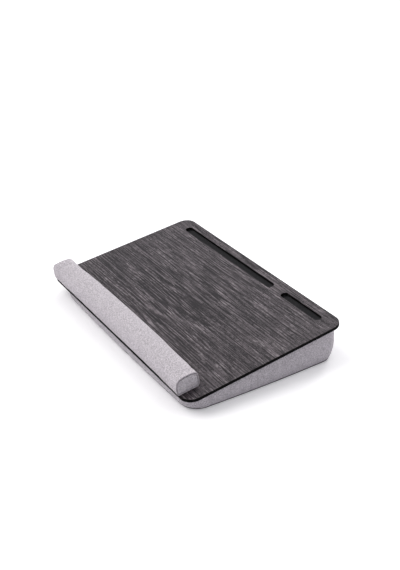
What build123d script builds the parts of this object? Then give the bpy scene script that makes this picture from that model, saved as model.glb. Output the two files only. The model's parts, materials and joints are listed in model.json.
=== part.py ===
from build123d import *
import os
from math import cos, radians, sin, tan

# Lap tray with cushion: a slotted board with a bolster wrist rest, on a wedge cushion.
# Origin on the table under the middle of the tray, +X to the right, +Y to the back, +Z up.
# Lengths in millimetres.

os.makedirs("parts", exist_ok=True)

# Board
deck_width = 550
deck_depth = 350
deck_thickness = 6
deck_corner_radius = 25
deck_front_height = 32.4
deck_tilt = 8
laminate_thickness = 0.6
backing_thickness = 0.4
edge_band_thickness = 1
edge_round = 0.8

# Slots through the board for a tablet and a phone, set out from its back and side edges
slot_width = 17
slot_back_margin = 19
slot_side_margin = 39
slot_web = 33
phone_slot_length = 117

# Wedge cushion, its sewn cover and the lean of its front
cushion_side_gap = 11
cushion_side_shift = 3
cushion_front_gap = 6
cushion_back_gap = 3
cushion_front_lean = 4.6
cushion_front_radius = 38
cushion_back_radius = 28
cushion_edge_roll = 1.6
cushion_back_roll = 5
cushion_side_crown = 1.5
cushion_back_crown = 2.3
cushion_bow = 3
cover_thickness = 1.5
lining_thickness = 1
bottom_flat_depth = 0.5
bottom_seam_share = 0.1

# Heights of the cushion's sections as shares of its local height, with the shares of the edge
# roll and of the softer back's roll that each stands back, and the share of the bow it shows
section_shares = [0, 0.05, 0.14, 0.32, 0.5, 0.68, 0.88, 1]
roll_shares = [1, 0.25, 0.1, 0, 0, 0, 0.35, 1.2]
back_roll_shares = [1, 0.5, 0.2, 0, 0, 0, 0.1, 0.35]
bow_shares = [0.8, 1, 1, 0.95, 0.8, 0.55, 0.2, 0]

# Hook-and-loop strips
hook_thickness = 0.8
loop_thickness = 1
strip_width = 25
strip_length = 120
strip_side_margin = 105
strip_front_margin = 70
strip_back_margin = 80
rest_strip_width = 20
rest_strip_length = 150
rest_strip_side_margin = 112
clearance = 0.2

# Zip in the back of the cushion's band
zip_side_margin = 74
zip_height_share = 0.5
zip_opening_height = 11
zip_tape_height = 12
zip_tape_thickness = 0.6
zip_tape_depth = 1.9
zip_chain_height = 5
zip_chain_thickness = 1.6
zip_stop_length = 3
zip_end_margin = 4
zip_recess_margin = 2
slider_length = 14
slider_width = 9.4
slider_nose_width = 7
slider_plate = 1.2
slider_flange = 1.3
slider_clearance = 0.3
crown_length = 8
crown_width = 2.4
crown_bar = 0.8
crown_height = 3
tab_length = 24
tab_width = 7
tab_thickness = 1.1
tab_window_length = 6
tab_window_width = 3.6
tab_end_round = 2.5
tab_bar_round = 0.35

# Wrist rest
rest_side_margin = 23
rest_width = 54.5
rest_height = 35.5
rest_overhang = 4
rest_skin = 1.2
rest_top_front_radius = 13
rest_top_back_radius = 14
rest_bottom_radius = 4
rest_top_crown = 1.2
rest_wall_bow = 0.9
rest_cap_crown = 3
rest_rim = 1.6
rest_rim_proud = 0.6

# Sections of the wrist rest along its half length, with the shares of its width and height
# that each has: it is sewn from a straight sleeve, so it narrows towards its end panels
rest_position_shares = [-1, -0.96, -0.86, -0.5, 0, 0.5, 0.86, 0.96, 1]
rest_width_shares = [0.85, 0.87, 0.91, 0.97, 0.995, 0.97, 0.91, 0.87, 0.85]
rest_height_shares = [0.98, 0.98, 0.985, 1, 1, 1, 0.985, 0.98, 0.98]

# Sections of an end panel's dome, as shares of its crown and of the rim's width
cap_step_shares = [0, 0.6, 1]
cap_inset_shares = [1, 1.8, 3.4]

# One overrun serves all cuts
overrun = 10

# Frame of the board: origin at the middle of its front top edge, centred on the part's depth
slope = tan(radians(deck_tilt))
lean_sin = sin(radians(deck_tilt))
lean_cos = cos(radians(deck_tilt))
strip_stack = hook_thickness + clearance + loop_thickness
rest_length = deck_width - 2 * rest_side_margin
rest_end_height = rest_height * rest_height_shares[-1]
rest_front_crest = strip_stack + rest_end_height - rest_top_crown - rest_top_front_radius
reach_front = -(
    (rest_overhang - rest_top_front_radius) * lean_cos
    + rest_front_crest * lean_sin
    + rest_top_front_radius
    + rest_rim_proud
)
cushion_reach = deck_depth * lean_cos - cushion_back_gap + cushion_back_crown
zip_chain_top = zip_chain_thickness - zip_tape_depth
slider_reach = cushion_reach + zip_chain_top + slider_clearance + slider_plate + crown_height
reach_back = max(deck_depth * lean_cos + deck_thickness * lean_sin, slider_reach)
front_y = -(reach_front + reach_back) / 2
deck_plane = Plane(
    origin=(0, front_y, deck_front_height),
    x_dir=(1, 0, 0),
    z_dir=(0, -lean_sin, lean_cos),
)

# Cushion: its top lies one strip stack below the board, its nominal walls in table coordinates
top_gap = deck_thickness + strip_stack
cushion_half_width = deck_width / 2 - cushion_side_gap
zip_length = 2 * (cushion_half_width - zip_side_margin)
cushion_front = front_y + cushion_front_gap
cushion_back = front_y + deck_depth * lean_cos - cushion_back_gap


def underside(y, drop):
    """Height of the plane that lies drop below the board's top, at table position y."""
    return deck_front_height - drop / lean_cos + (y - front_y) * slope


def wedge_plane(share, base, drop):
    """Plane at a share of the way up from a level base to the plane drop below the top."""
    rise = share * slope
    height = base + share * (underside(0, drop) - base)
    return Plane(origin=(0, 0, height), x_dir=(1, 0, 0), z_dir=(0, -rise, 1))


def wall(start, middle, end, bow):
    """Side of a cushion section: an arc bowed out to its middle point, or a straight line."""
    if bow > 0:
        ThreePointArc(start, middle, end)
    else:
        Line(start, end)


def cushion_outline(plane, share, roll, back_roll, bow, inset):
    """Closed outline of the cushion at one of its sections, drawn on the section's plane."""
    crown = 4 * share * (1 - share)
    stretch = 1 / plane.z_dir.Z
    right = cushion_side_shift + cushion_half_width + cushion_side_crown * crown - roll - inset
    left = 2 * cushion_side_shift - right
    front = cushion_front + cushion_front_lean * (1 - share) - cushion_side_crown * crown
    front = (front + roll + inset) * stretch
    back = (cushion_back + cushion_back_crown * crown - back_roll - inset) * stretch
    radius = cushion_front_radius - roll - inset
    turn = cushion_back_radius + back_roll - inset
    middle_x = (left + right) / 2
    middle_y = (front + back) / 2
    near = radius * (1 - cos(radians(45)))
    near_back = turn * (1 - cos(radians(45)))
    wall((left + radius, front), (middle_x, front - bow), (right - radius, front), bow)
    ThreePointArc((right - radius, front), (right - near, front + near), (right, front + radius))
    wall((right, front + radius), (right + bow, middle_y), (right, back - turn), bow)
    ThreePointArc((right, back - turn), (right - near_back, back - near_back), (right - turn, back))
    Line((right - turn, back), (left + turn, back))
    ThreePointArc((left + turn, back), (left + near_back, back - near_back), (left, back - turn))
    wall((left, back - turn), (left - bow, middle_y), (left, front + radius), bow)
    ThreePointArc((left, front + radius), (left + near, front + near), (left + radius, front))


def cushion_body(base, drop, inset):
    """Soft wedge lofted through its sections, from a level base up to the plane under the board."""
    with BuildPart() as body:
        for share, roll_share, back_share, bow_share in zip(
            section_shares, roll_shares, back_roll_shares, bow_shares
        ):
            plane = wedge_plane(share, base, drop)
            roll = roll_share * cushion_edge_roll
            back_roll = back_share * cushion_back_roll
            with BuildSketch(plane):
                with BuildLine():
                    cushion_outline(plane, share, roll, back_roll, bow_share * cushion_bow, inset)
                make_face()
        loft()
    return body.part


def deck_outline(inset):
    """Rounded rectangle of the board, drawn in from its edge by an inset."""
    with Locations((0, deck_depth / 2)):
        RectangleRounded(
            deck_width - 2 * inset,
            deck_depth - 2 * inset,
            deck_corner_radius - inset,
        )


def slot_holes():
    """The tablet slot and the phone slot, with full round ends."""
    slot_line = deck_depth - slot_back_margin - slot_width / 2
    reach = deck_width / 2 - slot_side_margin
    phone_left = reach - phone_slot_length
    for left, right in ((-reach, phone_left - slot_web), (phone_left, reach)):
        with Locations(((left + right) / 2, slot_line)):
            SlotOverall(right - left, slot_width, mode=Mode.SUBTRACT)


def rest_outline(width_share, height_share, inset):
    """D-shaped section of the wrist rest, flat below, with soft shoulders above."""
    front = -rest_overhang + inset
    back = rest_width * width_share - rest_overhang - inset
    bottom = strip_stack + inset
    top = strip_stack + rest_height * height_share - inset
    front_radius = rest_top_front_radius - inset
    back_radius = rest_top_back_radius - inset
    foot = max(rest_bottom_radius - inset, rest_bottom_radius / 4)
    near_front = front_radius * (1 - cos(radians(45)))
    near_back = back_radius * (1 - cos(radians(45)))
    near_foot = foot * (1 - cos(radians(45)))
    shoulder = top - rest_top_crown
    middle_front = (bottom + foot + shoulder - front_radius) / 2
    middle_back = (bottom + foot + shoulder - back_radius) / 2
    middle_top = (front + front_radius + back - back_radius) / 2
    Line((front + foot, bottom), (back - foot, bottom))
    ThreePointArc((back - foot, bottom), (back - near_foot, bottom + near_foot), (back, bottom + foot))
    ThreePointArc(
        (back, bottom + foot),
        (back + rest_wall_bow, middle_back),
        (back, shoulder - back_radius),
    )
    ThreePointArc(
        (back, shoulder - back_radius),
        (back - near_back, shoulder - near_back),
        (back - back_radius, shoulder),
    )
    ThreePointArc(
        (back - back_radius, shoulder),
        (middle_top, top),
        (front + front_radius, shoulder),
    )
    ThreePointArc(
        (front + front_radius, shoulder),
        (front + near_front, shoulder - near_front),
        (front, shoulder - front_radius),
    )
    ThreePointArc(
        (front, shoulder - front_radius),
        (front - rest_wall_bow, middle_front),
        (front, bottom + foot),
    )
    ThreePointArc((front, bottom + foot), (front + near_foot, bottom + near_foot), (front + foot, bottom))


def rest_plane(position):
    """Plane across the wrist rest at a place along it: its x runs back, its y out of the board."""
    return Plane(
        origin=deck_plane.from_local_coords((position, 0, 0)),
        x_dir=deck_plane.y_dir,
        z_dir=(1, 0, 0),
    )


def rest_body(half_length, inset):
    """Soft bolster lofted along the board, fullest in its middle."""
    with BuildPart() as body:
        for position, width, height in zip(
            rest_position_shares, rest_width_shares, rest_height_shares
        ):
            with BuildSketch(rest_plane(position * half_length)):
                with BuildLine():
                    rest_outline(width, height, inset)
                make_face()
        loft()
    return body.part


def board_strips():
    """Outlines of the four hook-and-loop strips between board and cushion."""
    spacing_x = deck_width - 2 * strip_side_margin
    spacing_y = deck_depth - strip_front_margin - strip_back_margin
    with Locations((0, strip_front_margin + spacing_y / 2)):
        with GridLocations(spacing_x, spacing_y, 2, 2):
            RectangleRounded(strip_length, strip_width, strip_width / 5)


def rest_strips():
    """Outlines of the two hook-and-loop strips between board and wrist rest."""
    spacing = rest_length - 2 * rest_strip_side_margin
    with Locations((0, rest_width / 2 - rest_overhang)):
        with GridLocations(spacing, rest_width, 2, 1):
            RectangleRounded(rest_strip_length, rest_strip_width, rest_strip_width / 5)


# Board: core with the two slots cut through
inner_thickness = deck_thickness - laminate_thickness - backing_thickness
with BuildPart() as deck_core:
    with BuildSketch(deck_plane.offset(-laminate_thickness)):
        deck_outline(edge_band_thickness)
        slot_holes()
    extrude(amount=-inner_thickness)

# Board: wood-grain sheet on top
with BuildPart() as deck_laminate:
    with BuildSketch(deck_plane):
        deck_outline(edge_band_thickness)
        slot_holes()
    extrude(amount=-laminate_thickness)

# Board: balance sheet below
with BuildPart() as deck_backing:
    with BuildSketch(deck_plane.offset(-deck_thickness)):
        deck_outline(edge_band_thickness)
        slot_holes()
    extrude(amount=backing_thickness)

# Board: black band round its edge, eased at the outer corners
with BuildPart() as deck_edge_band:
    with BuildSketch(deck_plane.offset(-deck_thickness)):
        deck_outline(0)
    extrude(amount=deck_thickness)
    rims = deck_edge_band.faces().filter_by(deck_plane).edges()
    fillet(rims, radius=edge_round)
    with BuildSketch(deck_plane.offset(-deck_thickness)):
        deck_outline(edge_band_thickness)
    extrude(amount=deck_thickness, mode=Mode.SUBTRACT)

# Hook strips glued under the board
with BuildPart() as deck_hook_strips:
    with BuildSketch(deck_plane.offset(-deck_thickness)):
        board_strips()
    extrude(amount=-hook_thickness)

# Hook strips glued on the board for the wrist rest
with BuildPart() as rest_hook_strips:
    with BuildSketch(deck_plane):
        rest_strips()
    extrude(amount=hook_thickness)

# Cushion: the outer form, cut flat where it stands, and the space inside its cover
cushion_outer = cushion_body(-bottom_flat_depth, top_gap, 0)
cushion_inner = cushion_body(cover_thickness, top_gap, cover_thickness)
seam_plane = wedge_plane(bottom_seam_share, -bottom_flat_depth, top_gap)
zip_y = cushion_back + cushion_back_crown
zip_z = zip_height_share * (underside(zip_y, top_gap) - bottom_flat_depth)
zip_plane = Plane(
    origin=(cushion_side_shift, zip_y, zip_z),
    x_dir=(-1, 0, 0),
    z_dir=(0, 1, 0),
)

# Cushion: lining that closes the top, seen through the slots
lining_plane = wedge_plane(1, 0, top_gap)
fill_top = lining_plane.offset(-lining_thickness)
with BuildPart() as cushion_top_lining:
    add(cushion_inner)
    split(bisect_by=fill_top, keep=Keep.TOP)

# Cushion: welt along the top of the band, in the gap that the strips leave under the board
welt_radius = strip_stack / 2 - clearance
top_roll = roll_shares[-1] * cushion_edge_roll
top_back_roll = back_roll_shares[-1] * cushion_back_roll
with BuildPart() as cushion_top_welt:
    with BuildLine(lining_plane.offset(strip_stack / 2)) as welt_path:
        cushion_outline(lining_plane, 1, top_roll, top_back_roll, 0, welt_radius)
    path = welt_path.wires()[0]
    with BuildSketch(Plane(origin=path @ 0, x_dir=(0, 1, 0), z_dir=path % 0)):
        Circle(welt_radius)
    sweep(path=path)

# Cushion: linen band round the sides, with the zip's opening in its back
with BuildPart() as cushion_side_band:
    add(cushion_outer)
    add(cushion_inner, mode=Mode.SUBTRACT)
    split(bisect_by=seam_plane, keep=Keep.TOP)
    with BuildSketch(zip_plane.offset(-cushion_back_crown)):
        RectangleRounded(zip_length, zip_opening_height, zip_opening_height / 4)
    extrude(amount=overrun, both=True, mode=Mode.SUBTRACT)

# Cushion: panel underneath, flat where it stands
with BuildPart() as cushion_bottom_panel:
    add(cushion_outer)
    add(cushion_inner, mode=Mode.SUBTRACT)
    split(bisect_by=seam_plane, keep=Keep.BOTTOM)
    split(bisect_by=Plane.XY, keep=Keep.TOP)

# Cushion: filling, with a recess behind the zip
with BuildPart() as cushion_fill:
    add(cushion_inner)
    split(bisect_by=fill_top, keep=Keep.BOTTOM)
    recess_plane = zip_plane.offset(-zip_tape_depth - zip_tape_thickness - clearance)
    with BuildSketch(recess_plane):
        RectangleRounded(
            zip_length + 2 * zip_recess_margin,
            2 * zip_tape_height + 2 * zip_recess_margin,
            zip_recess_margin,
        )
    extrude(amount=overrun, mode=Mode.SUBTRACT)

# Loop strips sewn on the cushion's lining
with BuildPart() as cushion_loop_strips:
    with BuildSketch(deck_plane.offset(-top_gap)):
        board_strips()
    extrude(amount=loop_thickness)

# Zip: two tapes that meet behind the chain
with BuildPart() as zipper_tapes:
    with BuildSketch(zip_plane.offset(-zip_tape_depth - zip_tape_thickness)):
        with GridLocations(0, zip_tape_height, 1, 2):
            Rectangle(zip_length, zip_tape_height - clearance)
    extrude(amount=zip_tape_thickness)

# Zip: closed chain of coils with rounded edges
chain_length = zip_length - 2 * zip_end_margin - 2 * zip_stop_length
with BuildPart() as zipper_chain:
    with BuildSketch(zip_plane.offset(-zip_tape_depth)):
        Rectangle(chain_length, zip_chain_height)
    extrude(amount=zip_chain_thickness)
    long_edges = zipper_chain.faces().sort_by(Axis.Y)[-1].edges().filter_by(Axis.X)
    fillet(long_edges, radius=zip_chain_thickness / 2)

# Zip: end stops
with BuildPart() as zipper_stops:
    with BuildSketch(zip_plane.offset(-zip_tape_depth)):
        with GridLocations(chain_length + zip_stop_length, 0, 2, 1):
            RectangleRounded(zip_stop_length, zip_chain_height, zip_stop_length / 4)
    extrude(amount=zip_chain_thickness + slider_clearance / 2)

# Zip: slider with side flanges and the crown that holds the pull tab
slider_floor = zip_chain_top + slider_clearance
slider_x = chain_length / 2 - slider_length / 2
crown_axis = slider_floor + slider_plate + slider_clearance + tab_thickness / 2
with BuildPart() as zipper_slider:
    with BuildSketch(zip_plane.offset(slider_floor)) as slider_sketch:
        with BuildLine():
            Polyline(
                (-slider_x - slider_length / 2, -slider_width / 2),
                (-slider_x, -slider_width / 2),
                (-slider_x + slider_length / 2, -slider_nose_width / 2),
                (-slider_x + slider_length / 2, slider_nose_width / 2),
                (-slider_x, slider_width / 2),
                (-slider_x - slider_length / 2, slider_width / 2),
                close=True,
            )
        make_face()
        fillet(slider_sketch.vertices(), radius=slider_flange)
    extrude(amount=slider_plate)
    with BuildSketch(zip_plane.offset(slider_clearance - zip_tape_depth)):
        with Locations((-slider_x - slider_length / 4, 0)):
            with GridLocations(0, slider_width - slider_flange, 1, 2):
                Rectangle(slider_length / 2 - slider_flange, slider_flange)
    extrude(amount=slider_floor + zip_tape_depth - slider_clearance + slider_plate / 2)
    crown_plane = Plane(
        origin=zip_plane.from_local_coords((-slider_x, 0, slider_floor + slider_plate)),
        x_dir=(1, 0, 0),
        z_dir=(0, 0, -1),
    )
    with BuildSketch(crown_plane):
        with Locations((0, (slider_plate / 2 - crown_height) / 2)):
            RectangleRounded(crown_length, crown_height + slider_plate / 2, crown_bar)
        with Locations((0, (crown_bar - crown_height) / 2)):
            Rectangle(
                crown_length - 2 * crown_bar,
                crown_height - crown_bar,
                mode=Mode.SUBTRACT,
            )
    extrude(amount=crown_width / 2, both=True)

# Zip: pull tab, a plate with a window whose end bar turns under the crown
with BuildPart() as zipper_pull_tab:
    with BuildSketch(zip_plane.offset(crown_axis - tab_thickness / 2)):
        with Locations((-slider_x - tab_length / 2 + tab_thickness / 2, 0)):
            RectangleRounded(tab_length, tab_width, tab_end_round)
        with Locations((-slider_x - tab_window_length / 2 - tab_thickness / 2, 0)):
            Rectangle(tab_window_length, tab_window_width, mode=Mode.SUBTRACT)
    extrude(amount=tab_thickness)
    bar_edges = zipper_pull_tab.edges().filter_by(Axis.Z).sort_by(Axis.X)[:2]
    fillet(bar_edges, radius=tab_bar_round)

# Wrist rest: foam core and the skin round it
rest_half = rest_length / 2 - rest_cap_crown
rest_outer = rest_body(rest_half, 0)
rest_inner = rest_body(rest_half, rest_skin)
base_plane = deck_plane.offset(strip_stack + rest_skin)

with BuildPart() as rest_foam:
    add(rest_inner)

# Wrist rest: sleeve over the front, top and back
with BuildPart() as rest_sleeve:
    add(rest_outer)
    add(rest_inner, mode=Mode.SUBTRACT)
    split(bisect_by=base_plane, keep=Keep.TOP)

# Wrist rest: panel underneath
with BuildPart() as rest_base_panel:
    add(rest_outer)
    add(rest_inner, mode=Mode.SUBTRACT)
    split(bisect_by=base_plane, keep=Keep.BOTTOM)

# Wrist rest: loop strips sewn under it
with BuildPart() as rest_loop_strips:
    with BuildSketch(deck_plane.offset(hook_thickness + clearance)):
        rest_strips()
    extrude(amount=loop_thickness)


def rest_cap(side):
    """Domed end panel of the wrist rest, on its right (side 1) or left (side -1)."""
    with BuildPart() as cap:
        for step_share, inset_share in zip(cap_step_shares, cap_inset_shares):
            with BuildSketch(rest_plane(side * (rest_half + step_share * rest_cap_crown))):
                with BuildLine():
                    rest_outline(
                        rest_width_shares[-1],
                        rest_height_shares[-1],
                        inset_share * rest_rim,
                    )
                make_face()
        loft()
    return cap.part


def rest_end_rim(side):
    """Seam ridge round an end panel of the wrist rest."""
    with BuildPart() as rim:
        with BuildSketch(rest_plane(side * rest_half)):
            with BuildLine():
                rest_outline(rest_width_shares[-1], rest_height_shares[-1], -rest_rim_proud)
            make_face()
        extrude(amount=side * rest_rim)
        with BuildSketch(rest_plane(side * rest_half)):
            with BuildLine():
                rest_outline(rest_width_shares[-1], rest_height_shares[-1], rest_rim)
            make_face()
        extrude(amount=side * rest_rim, mode=Mode.SUBTRACT)
    return rim.part


with BuildPart() as rest_cap_right:
    add(rest_cap(1))

with BuildPart() as rest_cap_left:
    add(rest_cap(-1))

with BuildPart() as rest_rim_right:
    add(rest_end_rim(1))

with BuildPart() as rest_rim_left:
    add(rest_end_rim(-1))

pieces = {
    "deck_core": deck_core,
    "deck_laminate": deck_laminate,
    "deck_backing": deck_backing,
    "deck_edge_band": deck_edge_band,
    "deck_hook_strips": deck_hook_strips,
    "rest_hook_strips": rest_hook_strips,
    "cushion_top_lining": cushion_top_lining,
    "cushion_top_welt": cushion_top_welt,
    "cushion_side_band": cushion_side_band,
    "cushion_bottom_panel": cushion_bottom_panel,
    "cushion_fill": cushion_fill,
    "cushion_loop_strips": cushion_loop_strips,
    "zipper_tapes": zipper_tapes,
    "zipper_chain": zipper_chain,
    "zipper_stops": zipper_stops,
    "zipper_slider": zipper_slider,
    "zipper_pull_tab": zipper_pull_tab,
    "rest_foam": rest_foam,
    "rest_sleeve": rest_sleeve,
    "rest_base_panel": rest_base_panel,
    "rest_loop_strips": rest_loop_strips,
    "rest_cap_right": rest_cap_right,
    "rest_cap_left": rest_cap_left,
    "rest_rim_right": rest_rim_right,
    "rest_rim_left": rest_rim_left,
}
for name, piece in pieces.items():
    piece.part.label = name
    export_step(piece.part, f"parts/{name}.step")
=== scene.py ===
# %% [markdown]
# A lap tray with a cushion, dressed on its CAD frame. The frame brings every rigid piece in its
# final place: the board with its two slots, the strips under it and the zip's metal. This script
# gives those pieces their finishes, and makes the soft pieces anew, because a wedge of cloth and
# a stuffed wrist rest look like blocks until they are sewn and filled. All lengths are in metres,
# in the frame's own axes: +X to the right, +Y to the back, +Z up.

# %% The frame
import json
from math import cos, pi, radians, sin

import bmesh
import bpy
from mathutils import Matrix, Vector, noise


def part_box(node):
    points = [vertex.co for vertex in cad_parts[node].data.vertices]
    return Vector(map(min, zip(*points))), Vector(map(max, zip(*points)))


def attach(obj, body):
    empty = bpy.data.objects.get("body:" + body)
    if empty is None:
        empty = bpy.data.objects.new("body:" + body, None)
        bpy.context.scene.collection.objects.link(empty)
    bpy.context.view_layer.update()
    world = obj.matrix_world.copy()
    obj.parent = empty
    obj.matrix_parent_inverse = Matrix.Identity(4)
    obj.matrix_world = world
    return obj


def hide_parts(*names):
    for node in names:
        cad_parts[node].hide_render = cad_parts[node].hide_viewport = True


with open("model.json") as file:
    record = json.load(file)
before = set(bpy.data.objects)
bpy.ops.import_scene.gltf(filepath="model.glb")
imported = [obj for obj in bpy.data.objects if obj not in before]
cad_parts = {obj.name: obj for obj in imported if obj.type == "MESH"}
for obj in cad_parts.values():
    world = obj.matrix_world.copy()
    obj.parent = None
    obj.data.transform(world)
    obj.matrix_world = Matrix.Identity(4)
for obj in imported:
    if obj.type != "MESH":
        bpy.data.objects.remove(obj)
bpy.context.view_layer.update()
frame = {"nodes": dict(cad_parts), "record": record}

MM = 0.001
scene = bpy.context.scene

# %% [markdown]
# The board leans back by eight degrees, so most pieces are easiest to place in its own
# directions: across it, back along it and out of it. The board lifts off its cushion straight
# along the last of these, so that joint's axis gives all three, and the grain sheet's box gives
# the front edge.

# %% Directions of the board
joints = {joint["name"]: joint for joint in frame["record"]["behaviour"]["joints"]}
board_out = Vector(joints["board_lift"]["axis"]).normalized()
board_back = Vector((0, board_out.z, -board_out.y))
slope = board_back.z / board_back.y
edge_band_width = 1 * MM
laminate_thickness = 0.6 * MM
sheet_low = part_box("deck_laminate")[0]
board_front = Vector(
    (
        0,
        sheet_low[1] - edge_band_width * board_back.y,
        sheet_low[2] + laminate_thickness * board_out.z - edge_band_width * board_back.z,
    )
)


def board_point(across, back, out):
    """A point given in the board's directions, from the middle of its front top edge."""
    return board_front + Vector((across, 0, 0)) + back * board_back + out * board_out


print("front edge of the board at", [round(value, 4) for value in board_front])

# %% [markdown]
# The camera comes first, because every later choice is judged through it. It could be placed by
# eye, but a tray seen from a slightly wrong place never lines up with its photograph. So its
# place was worked out from the straight edges of the board: a long lens, about two metres away, a
# little above and to the right of the tray. A small shift stands for the photograph's off-centre
# crop.

# %% Camera
camera_place = Vector((1.3296, -0.8229, 0.9590))
camera_aim = Vector((-0.0554, 0.0606, 0.0500))
photo_height = 570
camera = bpy.data.objects.new("camera", bpy.data.cameras.new("camera"))
camera.location = camera_place
camera.rotation_euler = (camera_aim - camera_place).to_track_quat("-Z", "Y").to_euler()
camera.data.lens = 56.61
camera.data.shift_x = 2.3 / photo_height
camera.data.shift_y = -4.0 / photo_height
camera.data.clip_end = 60
scene.collection.objects.link(camera)
scene.camera = camera
scene.view_settings.view_transform = "Standard"
print("camera stands", round((camera_aim - camera_place).length, 3), "m away")

# %% [markdown]
# A finish in Blender is a small network of shader nodes. Written out node by node it would fill a
# page and hide what it does. So each helper here makes one thing, joins it to what feeds it and
# gives back its output, and a finish then reads like a sum. A number may stand where a link
# would, which keeps the calls short.

# %% Helpers for node groups
def new_group(name, inputs, outputs):
    """A shader node group with named inputs (with their first values) and outputs."""
    group = bpy.data.node_groups.new(name, "ShaderNodeTree")
    for label, value in inputs.items():
        socket = group.interface.new_socket(
            name=label, in_out="INPUT", socket_type="NodeSocketFloat"
        )
        socket.default_value = value
    for label in outputs:
        group.interface.new_socket(name=label, in_out="OUTPUT", socket_type="NodeSocketFloat")
    start = group.nodes.new("NodeGroupInput")
    end = group.nodes.new("NodeGroupOutput")
    return group, start, end


def feed(tree, source, target):
    """Links a socket to an input, or sets the input to a number or a list of numbers."""
    if isinstance(source, bpy.types.NodeSocket):
        tree.links.new(source, target)
    else:
        target.default_value = source


def math_node(tree, operation, *values):
    """One step of arithmetic on single values."""
    node = tree.nodes.new("ShaderNodeMath")
    node.operation = operation
    for value, target in zip(values, node.inputs):
        feed(tree, value, target)
    return node.outputs[0]


def vector_node(tree, operation, *values):
    """One step of arithmetic on vectors."""
    node = tree.nodes.new("ShaderNodeVectorMath")
    node.operation = operation
    for value, target in zip(values, node.inputs):
        feed(tree, value, target)
    return node.outputs["Vector"]


print("helpers for arithmetic ready")

# %% [markdown]
# Nearly every surface here starts from noise, because nothing that is woven, pressed or sawn is
# quite even. Raw noise is soft and grey all over. A ramp that stretches a narrow part of it to
# the full range turns it into streaks, specks or patches, and a mix then paints two colours by
# it.

# %% Helpers for textures
def noise_node(tree, vector, scale, detail, roughness=0.5):
    """A noise texture's single value."""
    node = tree.nodes.new("ShaderNodeTexNoise")
    feed(tree, vector, node.inputs["Vector"])
    feed(tree, scale, node.inputs["Scale"])
    node.inputs["Detail"].default_value = detail
    node.inputs["Roughness"].default_value = roughness
    return node.outputs["Fac"]


def ramp_node(tree, value, low, high):
    """Stretches a value so that low becomes 0 and high becomes 1."""
    node = tree.nodes.new("ShaderNodeMapRange")
    node.interpolation_type = "SMOOTHSTEP"
    feed(tree, value, node.inputs["Value"])
    feed(tree, low, node.inputs["From Min"])
    feed(tree, high, node.inputs["From Max"])
    return node.outputs["Result"]


def blend_node(tree, share, low, high):
    """Mixes two colours by a share."""
    node = tree.nodes.new("ShaderNodeMix")
    node.data_type = "RGBA"
    # The mix node holds sockets for all its types: 0 is the share, 6 and 7 take the colours
    feed(tree, share, node.inputs[0])
    feed(tree, low, node.inputs[6])
    feed(tree, high, node.inputs[7])
    return node.outputs[2]


print("helpers for textures ready")

# %% [markdown]
# The tray lies on a plain pale floor in a bright room. A real product table curves up behind the
# object. A flat floor that reaches far back does the same for a camera that looks down. Towards
# the camera the floor adds a little light of its own, so that it reads as white paper. That light
# would wash out the shadow that tells how heavy the tray is, so an occlusion node dims it close to
# the cushion: a painted contact shadow on the floor, as a corner dims daylight.

# %% Floor
def camera_only(tree, strength):
    """Strength for rays from the camera, off a gloss or through a clear piece, zero for others."""
    path = tree.nodes.new("ShaderNodeLightPath")
    from_camera, off_gloss = path.outputs["Is Camera Ray"], path.outputs["Is Glossy Ray"]
    direct = math_node(tree, "MAXIMUM", from_camera, off_gloss)
    either = math_node(tree, "MAXIMUM", direct, path.outputs["Is Transmission Ray"])
    return math_node(tree, "MULTIPLY", either, strength)


floor_reach = 14.0
floor_drop = 0.2 * MM
floor_glow = 0.52
contact_reach = 60 * MM
floor_corners = [
    (x * floor_reach, y * floor_reach, -floor_drop)
    for x, y in ((-1, -1), (1, -1), (1, 1), (-1, 1))
]
floor_mesh = bpy.data.meshes.new("floor")
floor_mesh.from_pydata(floor_corners, [], [(0, 1, 2, 3)])
floor = bpy.data.objects.new("floor", floor_mesh)
scene.collection.objects.link(floor)

floor_paint = bpy.data.materials.new("floor_paper")
floor_paint.use_nodes = True
floor_tree = floor_paint.node_tree
floor_shader = floor_tree.nodes["Principled BSDF"]
floor_shader.inputs["Base Color"].default_value = (0.865, 0.858, 0.873, 1)
floor_shader.inputs["Roughness"].default_value = 0.9
floor_shader.inputs["Specular IOR Level"].default_value = 0.1
floor_shader.inputs["Emission Color"].default_value = (1, 1, 1, 1)
# Painted contact shadow: the floor's own glow is dimmed by ambient occlusion near the cushion
painted_contact_shadow = floor_tree.nodes.new("ShaderNodeAmbientOcclusion")
painted_contact_shadow.inputs["Distance"].default_value = contact_reach
even_glow = camera_only(floor_tree, floor_glow)
glow = math_node(floor_tree, "MULTIPLY", even_glow, painted_contact_shadow.outputs["AO"])
feed(floor_tree, glow, floor_shader.inputs["Emission Strength"])
floor_mesh.materials.append(floor_paint)
print("floor reaches", floor_reach, "m, its own light", floor_glow)

# %% [markdown]
# The room lights everything from all round, at a plain level. What the camera sees behind the
# tray has to be white, and a room that bright would bleach the cloth. So the room is white only
# for rays that come straight from the camera, off a gloss or through a clear piece, and dimmer
# for all others.

# %% Room
room_base = 0.38
room = bpy.data.worlds.new("room")
scene.world = room
room.use_nodes = True
room_tree = room.node_tree
room_light = room_tree.nodes["Background"]
room_light.inputs["Color"].default_value = (0.95, 0.95, 1.0, 1)
seen = camera_only(room_tree, 1 - room_base)
feed(room_tree, math_node(room_tree, "ADD", seen, room_base), room_light.inputs["Strength"])
print("room lights at", room_base, "of white")

# %% [markdown]
# A studio lights a white sweep evenly, so that the paper has no bright and dark end. Area lamps
# near the tray would fade across a floor this large. Sun lamps don't fade, and with a wide disc
# they cast shadows as soft as a cloth-covered lamp does. The key comes from the front left: it
# lights the top and the front of the wrist rest and leaves the right side of the cushion in
# gentle shade. A weaker sun behind shapes the back corner, and a third from the back left skims
# the board, which gives its satin sheet a sheen.

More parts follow.
